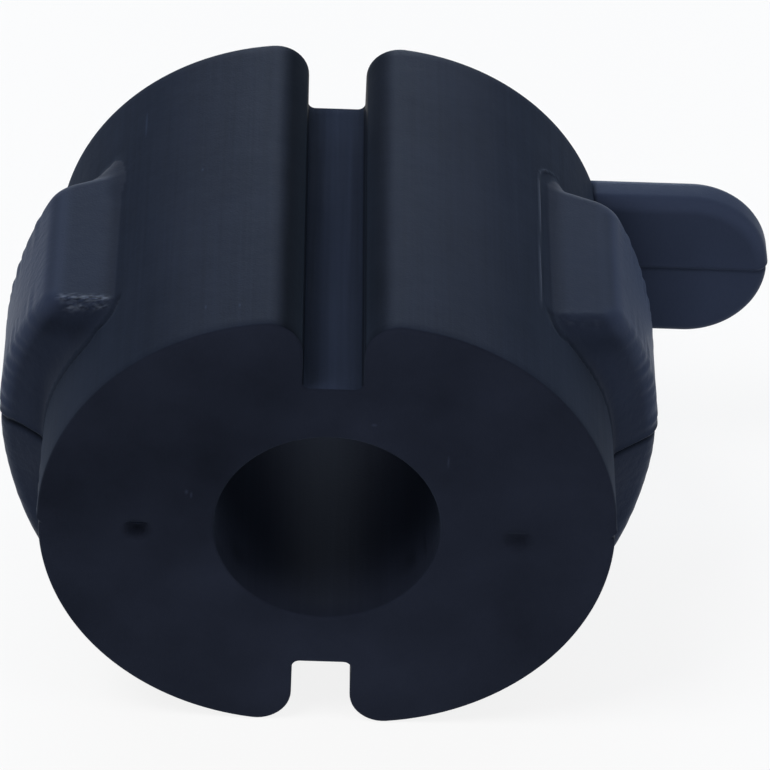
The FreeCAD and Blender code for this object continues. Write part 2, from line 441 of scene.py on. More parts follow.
def root_blend(points):
    """Radius of the hollow blend at some points."""
    x, y, z = np.moveaxis(points, -1, 0)
    rise = np.degrees(np.arctan2(abs(z), abs(x)))
    on_flank = soft_share(rise, *FLANK_BLEND_START) * (1 - soft_share(rise, *FLANK_BLEND_END))
    at_pad = soft_share(rise, *PAD_BLEND_START)
    at_corner = soft_share(rise, *CORNER_BLEND_START) * soft_share(y, *CORNER_BLEND_Y)
    return (ROOT_BLEND + np.where(x < 0, *ROOT_BLEND_WIDENING) * on_flank
            + PAD_BLEND_WIDENING * at_pad + np.where(x < 0, *CORNER_BLEND_WIDENING) * at_corner)


def outer_body(points):
    return hollow_edge(barrel_body(points), wing_body(points), root_blend(points))


def straight_rings(loop, places):
    """A ring of the loop's points at each place along Y."""
    rings = np.zeros((len(places), len(loop), 3))
    rings[..., [0, 2]] = loop
    rings[..., 1] = places[:, None]
    return rings


def skin_points(loop, places):
    """Points and normals of the skin: one row for each ring, one column for each station.

    Halving finds where the ray through each station from the bore's axis meets the outer body.
    """
    start = length_of(loop)
    rays = loop / start[:, None]
    directions = straight_rings(rays, np.zeros(len(places)))
    offset = straight_rings(np.zeros_like(rays), places)
    low = np.tile(start - SEARCH_MARGIN, (len(places), 1))
    high = np.full_like(low, WING_HALF_WIDTH + 1)
    for _ in range(HALVINGS):
        middle = (low + high) / 2
        distance = outer_body(directions * middle[..., None] + offset)[0]
        low = np.where(distance < 0, middle, low)
        high = np.where(distance < 0, high, middle)
    points = directions * low[..., None] + offset
    return points, outer_body(points)[1]


def bump(distance, width):
    """1 on a line, falling to nothing at about twice the width from it."""
    return np.exp(-(distance / width) ** 2)


def below_band(points):
    """Depth under the wings' outer band."""
    return BAND_RADIUS - ARC_RADIUS - barrel_body(points)[0]


def parting_relief(height):
    """How far the skin stands out at some height over the parting line."""
    shift = np.where(height < 0, LOWER_SHIFT * np.exp(height / SHIFT_FADE), 0)
    return (FLASH_HEIGHT * bump(height - FLASH_PLACE, FLASH_WIDTH)
            - GROOVE_DEPTH * bump(height, GROOVE_WIDTH) - shift)


def ridge_relief(points):
    """The cutter's ridges, which lie across the rounded edges of the wings' outer band."""
    x, y, z = np.moveaxis(points, -1, 0)
    wave = 0
    for number, pitch in enumerate(RIDGE_PITCHES):
        ahead = RIDGE_WAVE_TURN * number + RIDGE_SLANT * abs(y) + np.where(x > 0, 0.0, RIDGE_LEFT_TURN)
        wave = wave + np.sin(2 * math.pi * z / pitch + ahead) / (1 + RIDGE_WEAKENING * number)
    on_edge = even_share(abs(y), *RIDGE_Y) * even_share(below_band(points), *RIDGE_BELOW_BAND)
    share = (np.clip(z / RIDGE_FOOT, RIDGE_LOWER_SHARE, 1)
             * np.clip((RIDGE_TOP - abs(z)) / RIDGE_TOP_FADE, RIDGE_TOP_SHARE, 1))
    return RIDGE_HEIGHT * share * wave * on_edge


def crease_relief(points):
    """A fine crease where the blend at a wing's front root runs out into the barrel."""
    barrel_normal = barrel_body(points)[1]
    from_wing, wing_normal = wing_body(points)
    blend_reach = root_blend(points) * (1 - (barrel_normal * wing_normal).sum(-1))
    in_front = even_share(points[..., 1], *CREASE_Y) * (abs(points[..., 0]) > LIP_X)
    return -CREASE_DEPTH * bump(from_wing - blend_reach, CREASE_WIDTH) * in_front


def seam_relief(points):
    """A thin raised line that runs beside the right pad and hooks round behind it."""
    x, y, z = np.moveaxis(points, -1, 0)
    turn = np.arctan2(z, x - ARC_OFFSET)
    straight = SEAM_TURN - even_share(y, SEAM_FRONT, SEAM_BEND) * SEAM_LEAN
    hook = even_share(y, SEAM_BEND, SEAM_BACK)
    wanted = straight - SEAM_HOOK * (1 - np.sqrt(1 - hook ** 2))
    across = (turn - wanted) * ARC_RADIUS
    front = even_share(y, SEAM_FRONT, SEAM_FRONT + SEAM_FADE[0])
    back = even_share(y, SEAM_BACK, SEAM_BACK - SEAM_FADE[1])
    return np.where(x > 0, SEAM_HEIGHT * bump(across, SEAM_WIDTH) * front * back, 0)


def over_parting(points):
    """Height over the parting line, which is straight on the right and wavers on the left."""
    x, y, z = np.moveaxis(points, -1, 0)
    waver = (LEFT_WAVER * np.sin(LEFT_WAVER_TURN * y)
             + LEFT_RISE * bump(y - LEFT_RISE_Y, LEFT_RISE_WIDTH))
    parting = np.where(x > 0, RIGHT_PARTING, LEFT_PARTING)
    return z * np.cos(parting) - abs(x) * np.sin(parting) - np.where(x > 0, 0, waver)


def relief(points):
    """How far the marks of the mould stand out from the true skin."""
    height = over_parting(points) / np.where(points[..., 0] < 0, *PARTING_BREADTH)
    near_side = even_share(abs(points[..., 2]), *PARTING_FADE)
    marks = ridge_relief(points) + seam_relief(points) + crease_relief(points)
    return parting_relief(height) * near_side + marks


class Mesh:
    """Vertices and faces gathered piece by piece."""

    def __init__(self):
        self.vertices = []
        self.faces = []

    def add_points(self, points):
        """Add points and give back their numbers, in the same layout."""
        points = np.asarray(points)
        first = len(self.vertices)
        self.vertices.extend(points.reshape(-1, 3).tolist())
        return first + np.arange(points.size // 3).reshape(points.shape[:-1])

    def add_grid(self, rows, closed=True):
        """Faces between rows of vertex numbers. Rows that close on themselves come back round."""
        following = np.roll(rows, -1, axis=1)
        if not closed:
            rows, following = rows[:, :-1], following[:, :-1]
        for row in range(len(rows) - 1):
            quads = np.stack([rows[row], following[row], following[row + 1], rows[row + 1]], -1)
            self.faces.extend(quads.tolist())

    def make(self, name):
        mesh = bpy.data.meshes.new(name)
        mesh.from_pydata((np.array(self.vertices) * MM).tolist(), [], self.faces)
        mesh.validate()
        piece = bpy.data.objects.new(name, mesh)
        bpy.context.scene.collection.objects.link(piece)
        return piece


def rim_rings(loop, normals, side, radius, steps=4):
    """Rings of a rim's round, from the skin to the end face. side is -1 in front and 1 behind."""
    rings = []
    for turn in np.linspace(0, math.pi / 2, steps + 1)[1:]:
        inset = radius * (1 - math.cos(turn))
        place = side * (HALF_LENGTH - radius * (1 - math.sin(turn)))
        ring = np.full((len(loop), 3), place)
        ring[:, [0, 2]] = loop - normals * inset
        rings.append(ring)
    return np.array(rings)


def bore_circle(count=144):
    turns = np.arange(count) * 2 * math.pi / count
    out = np.stack([np.sin(turns), np.cos(turns)], -1)
    return out * BORE_RADIUS, -out


def pit_outline(inset, side, steps=4):
    """Rounded rectangle of a pit, drawn in by inset."""
    half_width = PIT_WIDTH / 2 - PIT_CORNER_ROUND
    half_height = PIT_HEIGHT / 2 - PIT_CORNER_ROUND
    points = []
    for corner, (right, up) in enumerate(((1, 1), (-1, 1), (-1, -1), (1, -1))):
        for turn in np.linspace(0, math.pi / 2, steps + 1):
            angle = turn + corner * math.pi / 2
            x = right * half_width + (PIT_CORNER_ROUND - inset) * math.cos(angle)
            z = up * half_height + (PIT_CORNER_ROUND - inset) * math.sin(angle)
            x *= 1 + PIT_TAPER * z / half_height
            points.append((side * PIT_SPACING / 2 + x, z - PIT_DROP))
    return np.array(points)


def pit_rings():
    """The rings of both pits, each with its depth."""
    return [(pit_outline(inset, side), depth)
            for side, pit in ((1, RIGHT_PIT), (-1, LEFT_PIT)) for inset, depth in pit]


def end_grid(borders):
    """Points that fill an end face in staggered rows, clear of the points on its outlines."""
    grid = np.arange(-ARC_RADIUS - ARC_OFFSET, ARC_RADIUS + ARC_OFFSET, END_STEP)
    points = []
    for column, x in enumerate(grid):
        for z in grid + (END_STEP / 2 if column % 2 else 0):
            near_rim = math.hypot(max(abs(x) - ARC_OFFSET, 0), z) > ARC_RADIUS - 1
            near_bore = math.hypot(x, z) < BORE_RADIUS + 1
            near_slot = abs(x) < LIP_X and abs(z) > SLOT_FLOOR - END_CLEAR
            if near_rim or near_bore or near_slot:
                continue
            if np.hypot(borders[:, 0] - x, borders[:, 1] - z).min() > END_CLEAR:
                points.append((x, z))
    return points


def ring_edges(first, count):
    """Edges of a closed ring whose points are numbered from first."""
    return [(first + i, first + (i + 1) % count) for i in range(count)]


def fill_end(mesh, outer, inner, side):
    """Fill an end face between the rim's last ring and the bore's. The front one has the pits.

    outer and inner are rings of vertex numbers.
    """
    known = [int(number) for number in [*outer, *inner]]
    flat = [Vector((mesh.vertices[number][0], mesh.vertices[number][2])) for number in known]
    edges = ring_edges(0, len(outer)) + ring_edges(len(outer), len(inner))
    depths = [None] * len(known)
    for outline, depth in (pit_rings() if side < 0 else ()):
        edges += ring_edges(len(flat), len(outline))
        flat += [Vector(point) for point in outline]
        depths += [depth] * len(outline)
    for point in end_grid(np.array([tuple(point) for point in flat])):
        flat.append(Vector(point))
        depths.append(0.0)
    points, _, triangles, originals, _, _ = delaunay_2d_cdt(flat, edges, [], 1, 1e-6)
    numbers = []
    for point, original in zip(points, originals):
        source = original[0]
        if source < len(known):
            numbers.append(known[source])
        else:
            numbers.append(len(mesh.vertices))
            mesh.vertices.append([point.x, side * (HALF_LENGTH - depths[source]), point.y])
    bore_numbers = set(known[len(outer):])
    for triangle in triangles:
        corners = [numbers[i] for i in triangle]
        if not bore_numbers.issuperset(corners):
            mesh.faces.append(corners if side < 0 else corners[::-1])


def add_tube(mesh, loop, normals, radius, rings):
    """Add rings with a rim's round at both ends, and give back their vertex numbers."""
    front = rim_rings(loop, normals, -1, radius)[::-1]
    back = rim_rings(loop, normals, 1, radius)
    return mesh.add_points(np.concatenate([front, rings, back]))


def body_mesh():
    """Barrel, wings, slots and bore as one closed mesh."""
    mesh = Mesh()
    loop, normals = section_loop()
    places = ring_places()
    side = (abs(loop[:, 0]) > LIP_X) & (abs(loop[:, 1]) < abs(loop[:, 0]) * math.tan(WING_SPREAD))
    points = straight_rings(loop, places)
    skin, skin_normals = skin_points(loop[side], places)
    points[:, side] = skin + skin_normals * relief(skin)[..., None]
    ends = np.insert(loop, 1, HALF_LENGTH, axis=1)
    loop = loop + normals * np.where(side, relief(ends), 0)[:, None]
    outer = add_tube(mesh, loop, normals, RIM_ROUND, points)
    mesh.add_grid(outer[::-1])

    circle, inward = bore_circle()
    last = HALF_LENGTH - BORE_RIM_ROUND
    wall = straight_rings(circle, np.linspace(-last, last, BORE_RINGS))
    inner = add_tube(mesh, circle, inward, BORE_RIM_ROUND, wall)
    mesh.add_grid(inner)

    fill_end(mesh, outer[0], inner[0], -1)
    fill_end(mesh, outer[-1], inner[-1], 1)
    return mesh


def tongue_columns():
    """Columns round the tongue's outline: place on its middle line and the way out from there."""
    round_x = TONGUE_TIP - TONGUE_HALF_HEIGHT
    straight = np.linspace(TONGUE_ROOT, round_x, 32)[:-1]
    quarter = [math.asin(place / TONGUE_HALF_HEIGHT) for place in TONGUE_LINE]
    quarter += list(np.linspace(quarter[-1], math.pi / 2, 30)[1:])
    upper = [(x, 0.0, 1.0) for x in straight]
    upper += [(round_x, math.cos(turn), math.sin(turn)) for turn in quarter[::-1]]
    lower = [(x, out_x, -out_z) for x, out_x, out_z in upper[::-1][1:]]
    return np.array(upper + lower)


def tongue_profile():
    """Stations from the middle line of the front, over the edge, to that of the back.

    Each is the distance out from the middle line, y, and the normal's two parts.
    """
    flat = TONGUE_HALF_HEIGHT - TONGUE_EDGE_ROUND
    face = [*TONGUE_LINE, 0.8, 1.2, *np.linspace(2, flat, 6)]
    profile = [(out, TONGUE_FRONT, 0.0, -1.0) for out in face]
    for turn in np.linspace(0, math.pi / 2, 9)[1:]:
        out = (math.sin(turn), -math.cos(turn))
        profile.append((flat + TONGUE_EDGE_ROUND * out[0],
                        TONGUE_FRONT + TONGUE_EDGE_ROUND * (1 + out[1]), *out))
    middle = (TONGUE_FRONT + TONGUE_BACK) / 2
    half = profile + [(TONGUE_HALF_HEIGHT, middle, 1.0, 0.0)]
    mirrored = [(out, 2 * middle - y, side, -along) for out, y, side, along in profile[::-1]]
    return np.array(half + mirrored)


def tongue_mesh():
    mesh = Mesh()
    columns = tongue_columns()
    profile = tongue_profile()
    out = np.stack([columns[:, 1], np.zeros(len(columns)), columns[:, 2]], -1)
    points = profile[:, None, :1] * out
    points[..., 0] += columns[:, 0]
    points[..., 1] = profile[:, 1:2]
    normals = profile[:, None, 2:3] * out
    normals[..., 1] = profile[:, 3:]
    points = points + normals * (TONGUE_LINE_SHARE * parting_relief(points[..., 2:]))
    numbers = mesh.add_points(points)
    middle = len(columns) // 2
    straight = int((columns[:middle, 1] == 0).sum())
    for row in (0, -1):
        numbers[row, middle + 1:] = numbers[row, :middle][::-1]
        numbers[row, straight:len(columns) - straight] = numbers[row, straight]
    mesh.add_grid(numbers, closed=False)
    mesh.faces.append([*numbers[:, 0], *numbers[1:-1, -1][::-1]])
    return mesh


def clean_faces(mesh):
    """Drop the faces' repeated corners and the vertices that no face uses."""
    faces = []
    for face in mesh.faces:
        corners = [c for i, c in enumerate(face) if c != face[i - 1]]
        if len(corners) > 2:
            faces.append(corners)
    used = sorted({corner for face in faces for corner in face})
    renumbered = {old: new for new, old in enumerate(used)}
    mesh.vertices = [mesh.vertices[i] for i in used]
    mesh.faces = [[renumbered[i] for i in face] for face in faces]
    return mesh


def join_pieces(body, tongue, name):
    """Unite two closed meshes into one."""
    union = body.modifiers.new("tongue", "BOOLEAN")
    union.operation = "UNION"
    union.solver = "EXACT"
    union.object = tongue
    graph = bpy.context.evaluated_depsgraph_get()
    mesh = bpy.data.meshes.new_from_object(body.evaluated_get(graph))
    mesh.name = name
    piece = bpy.data.objects.new(name, mesh)
    bpy.context.scene.collection.objects.link(piece)
    bpy.data.objects.remove(body)
    bpy.data.objects.remove(tongue)
    mesh.shade_smooth()
    mesh.set_sharp_from_angle(angle=SMOOTH_ANGLE)
    return piece


def feed(tree, socket, value):
    """Link another node's output to a socket, or set the socket to a plain value."""
    if isinstance(value, bpy.types.NodeSocket):
        tree.links.new(value, socket)
    else:
        socket.default_value = value


def add_step(tree, kind, operation, values):
    """Add a node of a kind that has operations, fed with values."""
    node = tree.nodes.new(kind)
    node.operation = operation
    for socket, value in zip(node.inputs, values):
        feed(tree, socket, value)
    return node


class Shader:
    """A material's nodes. Each call adds one and gives back its output."""

    def __init__(self, name):
        self.material = bpy.data.materials.new(name)
        self.material.use_nodes = True
        self.tree = self.material.node_tree
        self.nodes = self.tree.nodes
        self.principled = self.nodes["Principled BSDF"]
        coordinates = self.nodes.new("ShaderNodeTexCoord")
        self.place = coordinates.outputs["Object"]

    def feed(self, socket, value):
        feed(self.tree, socket, value)

    def math(self, operation, *values, clamp=False):
        node = add_step(self.tree, "ShaderNodeMath", operation, values)
        node.use_clamp = clamp
        return node.outputs[0]

    def times(self, first, second):
        return self.math("MULTIPLY", first, second)

    def vector(self, operation, *values):
        return add_step(self.tree, "ShaderNodeVectorMath", operation, values)

    def noise(self, size, stretch=(1, 1, 1), detail=2.0):
        """Noise from -1 to 1 with features of a size in mm, drawn out along some axes."""
        scale = [1 / (size * MM * length) for length in stretch]
        scaled = self.vector("MULTIPLY", self.place, scale).outputs[0]
        node = self.nodes.new("ShaderNodeTexNoise")
        self.feed(node.inputs["Vector"], scaled)
        node.inputs["Scale"].default_value = 1.0
        node.inputs["Detail"].default_value = detail
        return self.math("MULTIPLY_ADD", node.outputs["Fac"], 4.0, -2.0)

    def share(self, name):
        """A share that is kept on the mesh's vertices."""
        node = self.nodes.new("ShaderNodeAttribute")
        node.attribute_name = name
        return node.outputs["Fac"]

    def mark(self, place, reach):
        """1 in the middle of a small mark and 0 outside it. Both lengths are in mm."""
        offset = self.vector("SUBTRACT", self.place, [length * MM for length in place]).outputs[0]
        scaled = self.vector("DIVIDE", offset, [length * MM for length in reach]).outputs[0]
        distance = self.vector("LENGTH", scaled).outputs["Value"]
        return self.math("SUBTRACT", 1.0, distance, clamp=True)

    def total(self, terms):
        """Sum of terms, each a value and its weight."""
        sum_so_far = 0.0
        for value, weight in terms:
            sum_so_far = self.math("MULTIPLY_ADD", value, weight, sum_so_far)
        return sum_so_far

    def raise_skin(self, terms):
        """Bump from terms, each a height from -1 to 1 and its size in mm."""
        node = self.nodes.new("ShaderNodeBump")
        node.inputs["Distance"].default_value = MM
        self.feed(node.inputs["Height"], self.total(terms))
        self.feed(self.principled.inputs["Normal"], node.outputs[0])


def rubber(name, colour, roughness, gloss, bloom, tones, sheens, heights, dust_and_highlights=lambda _: []):
    """Black rubber with a faint blue bloom.

    Four functions give the terms for a shader: tones of its lightness, with painted light and shade;
    sheens of its roughness; heights of its relief; and the last, its grey scuffs and painted highlight
    lines.
    """
    shader = Shader(name)
    principled = shader.principled
    tone = shader.math("ADD", 1.0, shader.total(tones(shader)))
    gain = shader.math("MAXIMUM", DARKEST, tone)
    base = shader.vector("SCALE", colour)
    shader.feed(base.inputs["Scale"], gain)
    dust_and_highlight_colour = shader.vector("SCALE", DUST_AND_HIGHLIGHT_TINT)
    shader.feed(dust_and_highlight_colour.inputs["Scale"], shader.total(dust_and_highlights(shader)))
    shown = shader.vector("ADD", base.outputs[0], dust_and_highlight_colour.outputs[0])
    shader.feed(principled.inputs["Base Color"], shown.outputs[0])
    principled.inputs["Specular IOR Level"].default_value = gloss
    principled.inputs["Specular Tint"].default_value = GLOSS_TINT
    principled.inputs["Sheen Weight"].default_value = bloom
    principled.inputs["Sheen Roughness"].default_value = BLOOM_ROUGHNESS
    principled.inputs["Sheen Tint"].default_value = BLOOM_TINT
    rough = shader.math("ADD", roughness, shader.total(sheens(shader)), clamp=True)
    shader.feed(principled.inputs["Roughness"], rough)
    shader.raise_skin(heights(shader))
    return shader.material


def skin_rubber():
    """The moulded skin: streaks along the bore, fine grain and a few scuffs, with painted light and
    shade on its parts and painted highlight lines.
    """
    def tones(shader):
        patches = shader.noise(9.0, detail=4.0)
        streaks = shader.times(shader.noise(0.5, ALONG_BORE), shader.share("drawn"))
        specks = shader.times(shader.noise(0.4, SCUFF_GRAIN, detail=4.0), shader.share("scuffs_and_highlight"))
        grain = shader.noise(0.35)
        # The mesh's paleness share is painted light and shade
        terms = [(patches, 0.12), (streaks, 0.22), (specks, 1.6), (grain, 0.05),
                 (shader.share("pale"), 1.0)]
        return terms + [(shader.mark(place, reach), 1.2) for place, reach in SKIN_SCUFFS]

    def sheens(shader):
        patches = shader.noise(5.0, detail=3.0)
        streaks = shader.noise(0.6, (1, 30, 1))
        return [(patches, 0.03), (streaks, 0.03), (shader.share("dull"), 1.0)]

    def heights(shader):
        streaks = shader.times(shader.noise(0.45, ALONG_BORE), shader.share("drawn"))
        dents = shader.times(shader.noise(0.9, detail=3.0), shader.share("hammered"))
        grain, waves = shader.noise(0.22), shader.noise(2.2)
        return [(grain, 0.004), (streaks, 0.008), (waves, 0.008), (dents, 0.02)]

    def dust_and_highlights(shader):
        # Grey scuff specks and painted highlight lines along the pads' front edges and on the seam
        specks = shader.math("MULTIPLY_ADD", shader.noise(0.5, SCUFF_GRAIN, detail=4.0), 1.5, 0.6)
        clear = shader.math("MINIMUM", 2.2, shader.math("MAXIMUM", 0.0, specks))
        return [(shader.times(clear, shader.share("scuffs_and_highlight")), 0.05), (shader.share("highlight_lines"), 0.03)]

    return rubber("rubber_skin", SKIN_COLOUR, SKIN_ROUGHNESS, SKIN_GLOSS, SKIN_BLOOM,
                  tones, sheens, heights, dust_and_highlights)


def end_rubber():
    """The flat ends: duller, with random soft patches and painted shade and light."""
    def tones(shader):
        patches, grain = shader.noise(8.0, detail=5.0), shader.noise(0.4)
        # Painted shade on the upper left, the top and in the pits, and painted light on the foot
        marks = [(shader.mark(place, reach), paleness) for place, reach, paleness in END_PATCHES]
        scuffs = [(shader.mark(place, reach), 1.0) for place, reach in END_SCUFFS]
        return [(patches, 0.2), (grain, 0.04)] + marks + scuffs

    def sheens(shader):
        return [(shader.noise(8.0, detail=3.0), 0.04)]

    def heights(shader):
        grain, waves = shader.noise(0.25), shader.noise(3.5)
        return [(grain, 0.004), (waves, 0.012)]

    return rubber("rubber_ends", BASE_COLOUR, END_ROUGHNESS, END_GLOSS, SKIN_BLOOM,
                  tones, sheens, heights)


def bore_rubber():
    """The bore and the slots' walls: drawn off a core, so their streaks run straight."""
    def tones(shader):
        patches = shader.noise(6.0, (1, 4, 1), detail=3.0)
        streaks = shader.noise(0.5, ALONG_BORE)
        # The paleness share here is painted shade on the slots' walls
        return [(patches, 0.1), (streaks, 0.08), (shader.share("pale"), 1.0)]

    def sheens(shader):
        return [(shader.noise(5.0, (1, 4, 1)), 0.04)]

    def heights(shader):
        grain, streaks = shader.noise(0.3), shader.noise(0.6, ALONG_BORE)
        return [(grain, 0.003), (streaks, 0.004)]

    return rubber("rubber_bore", BASE_COLOUR, BORE_ROUGHNESS, BORE_GLOSS, CORE_BLOOM,
                  tones, sheens, heights)


def pad_edge_line(points, corner_y, width):
    """A line along the front edge of each pad, by its place at the pad's outer corner."""
    inward = PAD_CORNER_X - abs(points[..., 0])
    return bump(points[..., 1] - corner_y + PAD_EDGE_LEAN * inward, width)


def pad_edge_highlight_and_scuffs(points):
    """Painted highlight lines with scuff specks along both pads' front edges: rough on the left, faint
    on the right.
    """
    x, _, z = np.moveaxis(points, -1, 0)
    upper = pad_edge_line(points, *UPPER_SCUFF_HIGHLIGHT)
    lower = pad_edge_line(points, *LOWER_SCUFF_HIGHLIGHT) * even_share(abs(x), PAD_CORNER_X, PAD_CORNER_X - 1)
    across = even_share(abs(x), *SCUFF_HIGHLIGHT_INNER_X) * even_share(abs(x), *SCUFF_HIGHLIGHT_OUTER_X)
    share = np.where(x < 0, *UPPER_SCUFF_HIGHLIGHT_SHARE) * upper + np.where(x < 0, *LOWER_SCUFF_HIGHLIGHT_SHARE) * lower
    return share * across * (z > PAD_EDGE_FOOT)


def painted_edge_highlight(points):
    """A thin painted highlight line along the inner half of the left pad's front edge."""
    x, _, z = np.moveaxis(points, -1, 0)
    across = even_share(-x, *EDGE_HIGHLIGHT_INNER_X) * even_share(-x, *EDGE_HIGHLIGHT_OUTER_X)
    return EDGE_HIGHLIGHT_SHARE * pad_edge_line(points, *EDGE_HIGHLIGHT_LINE) * across * (z > PAD_EDGE_FOOT)


def wing_share(points):
    """0 on the barrel, and 1 from a little way up a wing."""
    return even_share(barrel_body(points)[0], 0, 0.8) * (abs(points[..., 1]) < WING_REACH)


def below_pad_share(points):
    """0 on the pads, and 1 from a little way down a wing's flanks and outer band."""
    return even_share(above_pad(points), 0, -1.5)


def on_barrel(points):
    """True on the barrel's own round skin."""
    return abs(barrel_body(points)[0]) < 0.1


def in_slot(points):
    x, _, z = np.moveaxis(abs(points), -1, 0)
    return (x < SLOT_HALF_WIDTH + 0.05) & (z > SLOT_FLOOR - 0.1)


def on_slot_floor(points):
    return in_slot(points) & (abs(points[..., 2]) < SLOT_FLOOR + 0.5)


def on_tongue(points):
    right, back, _ = np.moveaxis(points, -1, 0)
    beside_barrel = (back > TONGUE_FRONT - 0.4) & (right > 0) & (barrel_body(points)[0] > 0.05)
    behind_barrel = back > HALF_LENGTH + 0.02
    return beside_barrel | behind_barrel


def barrel_side(points):
    """How far the barrel has turned down towards the upper pads."""
    return on_barrel(points) * soft_share(abs(points[..., 0]), 13, 21) * (points[..., 2] > 0)


def upper_seam(points):
    return seam_relief(points) / SEAM_HEIGHT * (points[..., 2] > 0)


def lip_paleness(points):
    """Painted shade on the lips of the upper slot, from their crests down its walls."""
    x, _, z = np.moveaxis(points, -1, 0)
    over_lip = even_share(abs(x), LIP_X, SLOT_HALF_WIDTH) * (z > SLOT_FLOOR + 0.5)
    left = LIP_PALENESS[0] * soft_share(over_lip, 0, 0.65)
    right = LIP_PALENESS[1] * soft_share(over_lip, 0.15, 0.65)
    return np.where(x < 0, left, right)


def floor_paleness(points):
    # Painted light in the middle of the floors and painted shade towards their walls
    middle, sides = FLOOR_PALENESS
    paleness = middle + (sides - middle) * (points[..., 0] / SLOT_HALF_WIDTH) ** 2
    return paleness * on_slot_floor(points)


def pad_paleness(points):
    """Painted light on the pads, and painted shade along their outer edges and on the flanks just
    below them.
    """
    x, y, z = np.moveaxis(abs(points), -1, 0)
    over_pad = above_pad(points)
    inner_end = even_share(x, PAD_INNER_X + 0.6, PAD_INNER_X + 1.8)
    pad = bump(over_pad, 0.35) * inner_end * (y < WING_REACH)
    outer_edge = bump(x - np.where(points[..., 0] < 0, *PAD_EDGE_X), 0.6)
    outer_edge = outer_edge * (z > 14) * even_share(y, 10, 8)
    below = bump(over_pad + 2.6, 1.6) * even_share(y, 8, 10)
    on_wing = PAD_EDGE_PALENESS * outer_edge + UNDER_PAD_PALENESS * below
    return PAD_PALENESS * pad + on_wing * wing_share(points)


def wing_paleness(points):
    """Painted highlight on the outer band, painted light on the flanks and painted shade in the crease
    along the front root.
    """
    x, y, _ = np.moveaxis(points, -1, 0)
    band = even_share(below_band(points), 1.5, 0) * np.clip(over_parting(points) / 2.5, 0.3, 1)
    flank = wing_share(points) * below_pad_share(points) * even_share(abs(y), 6, 9)
    crease = -crease_relief(points) / CREASE_DEPTH
    return (BAND_PALENESS * band * (abs(y) < WING_REACH) + CREASE_PALENESS * crease
            + np.where(x < 0, *FLANK_PALENESS) * flank)


def tongue_paleness(points):
    """Painted light on the tongue, with a painted highlight that makes the rim of its upper half paler
    than the rest.
    """
    right, _, up = np.moveaxis(points, -1, 0)
    from_middle = np.hypot(np.maximum(right - TONGUE_TIP + TONGUE_HALF_HEIGHT, 0), up)
    rim = soft_share(from_middle, TONGUE_HALF_HEIGHT - 1.7, TONGUE_HALF_HEIGHT - 0.2)
    upper_rim = rim * soft_share(up, 0, 4)
    return on_tongue(points) * (TONGUE_PALENESS + TONGUE_RIM_PALENESS * upper_rim)


def groove_paleness(points):
    """Painted shade in the parting line, at the sides only."""
    groove = bump(over_parting(points), GROOVE_WIDTH * 1.5) * (abs(points[..., 0]) > ARC_RADIUS)
    return GROOVE_PALENESS * groove * np.where(on_tongue(points), TONGUE_GROOVE_SHARE, 1)


def skin_shares(points):
    """What the rubber's looks depend on at each point, by name; among them are painted light, shade
    and highlights.
    """
    lips = lip_paleness(points)
    side = barrel_side(points)
    seam = upper_seam(points)
    pale = (pad_paleness(points) + wing_paleness(points) + tongue_paleness(points)
            + floor_paleness(points) + groove_paleness(points) + lips
            + BARREL_SIDE_PALENESS * side + SEAM_HIGHLIGHT_PALENESS * seam)
    drawn = np.where(on_barrel(points), BARREL_DRAWN, OTHER_DRAWN)
    return {
        # Paleness: painted light, shade and highlights on the parts
        "pale": pale,
        "drawn": np.where(in_slot(points), SLOT_DRAWN, drawn),
        # Painted highlight lines with scuff specks along the pads' front edges
        "scuffs_and_highlight": pad_edge_highlight_and_scuffs(points),
        "hammered": wing_share(points) * below_pad_share(points),
        # Painted highlight lines on the right pad's seam and along the left pad's front edge
        "highlight_lines": SEAM_HIGHLIGHT_SHARE * seam + painted_edge_highlight(points),
        "dull": BARREL_SIDE_DULLNESS * (side + on_slot_floor(points)) - LIP_DULLNESS * lips,
    }


def rubber_number(polygon):
    """Number of the rubber that a face of the mesh has."""
    centre = polygon.center / MM
    across_bore = abs(polygon.normal.y) > 0.5
    on_end = across_bore and HALF_LENGTH - 0.6 < abs(centre.y) < HALF_LENGTH + 0.01
    beside_slot = abs(centre.x) < SLOT_HALF_WIDTH + 0.3
    on_wall = beside_slot and SLOT_FLOOR + 0.3 < abs(centre.z) < LIP_Z + 1
    if math.hypot(centre.x, centre.z) < BORE_RADIUS + 0.01 or (on_wall and not on_end):
        return CORE
    return ENDS if on_end else SKIN


def keep_inside(mesh, box):
    """Keep the vertices inside a box, and give back their places in mm."""
    points = np.zeros(len(mesh.vertices) * 3)
    mesh.vertices.foreach_get("co", points)
    points = np.clip(points.reshape(-1, 3), box[0], box[1])
    mesh.vertices.foreach_set("co", points.ravel())
    return points / MM


def finish_skin(piece, box):
    """Keep the mesh inside a box, give its vertices their shares and its faces their rubber."""
    mesh = piece.data
    for name, values in skin_shares(keep_inside(mesh, box)).items():
        mesh.attributes.new(name, "FLOAT", "POINT").data.foreach_set("value", values)
    for material in (skin_rubber(), end_rubber(), bore_rubber()):
        mesh.materials.append(material)
    for polygon in mesh.polygons:
        polygon.material_index = rubber_number(polygon)


def way_to(azimuth, elevation):
    """Direction by two angles in radians: azimuth 0 is straight back, and a quarter turn right."""
    return Vector((math.sin(azimuth) * math.cos(elevation),
                   math.cos(azimuth) * math.cos(elevation), math.sin(elevation)))


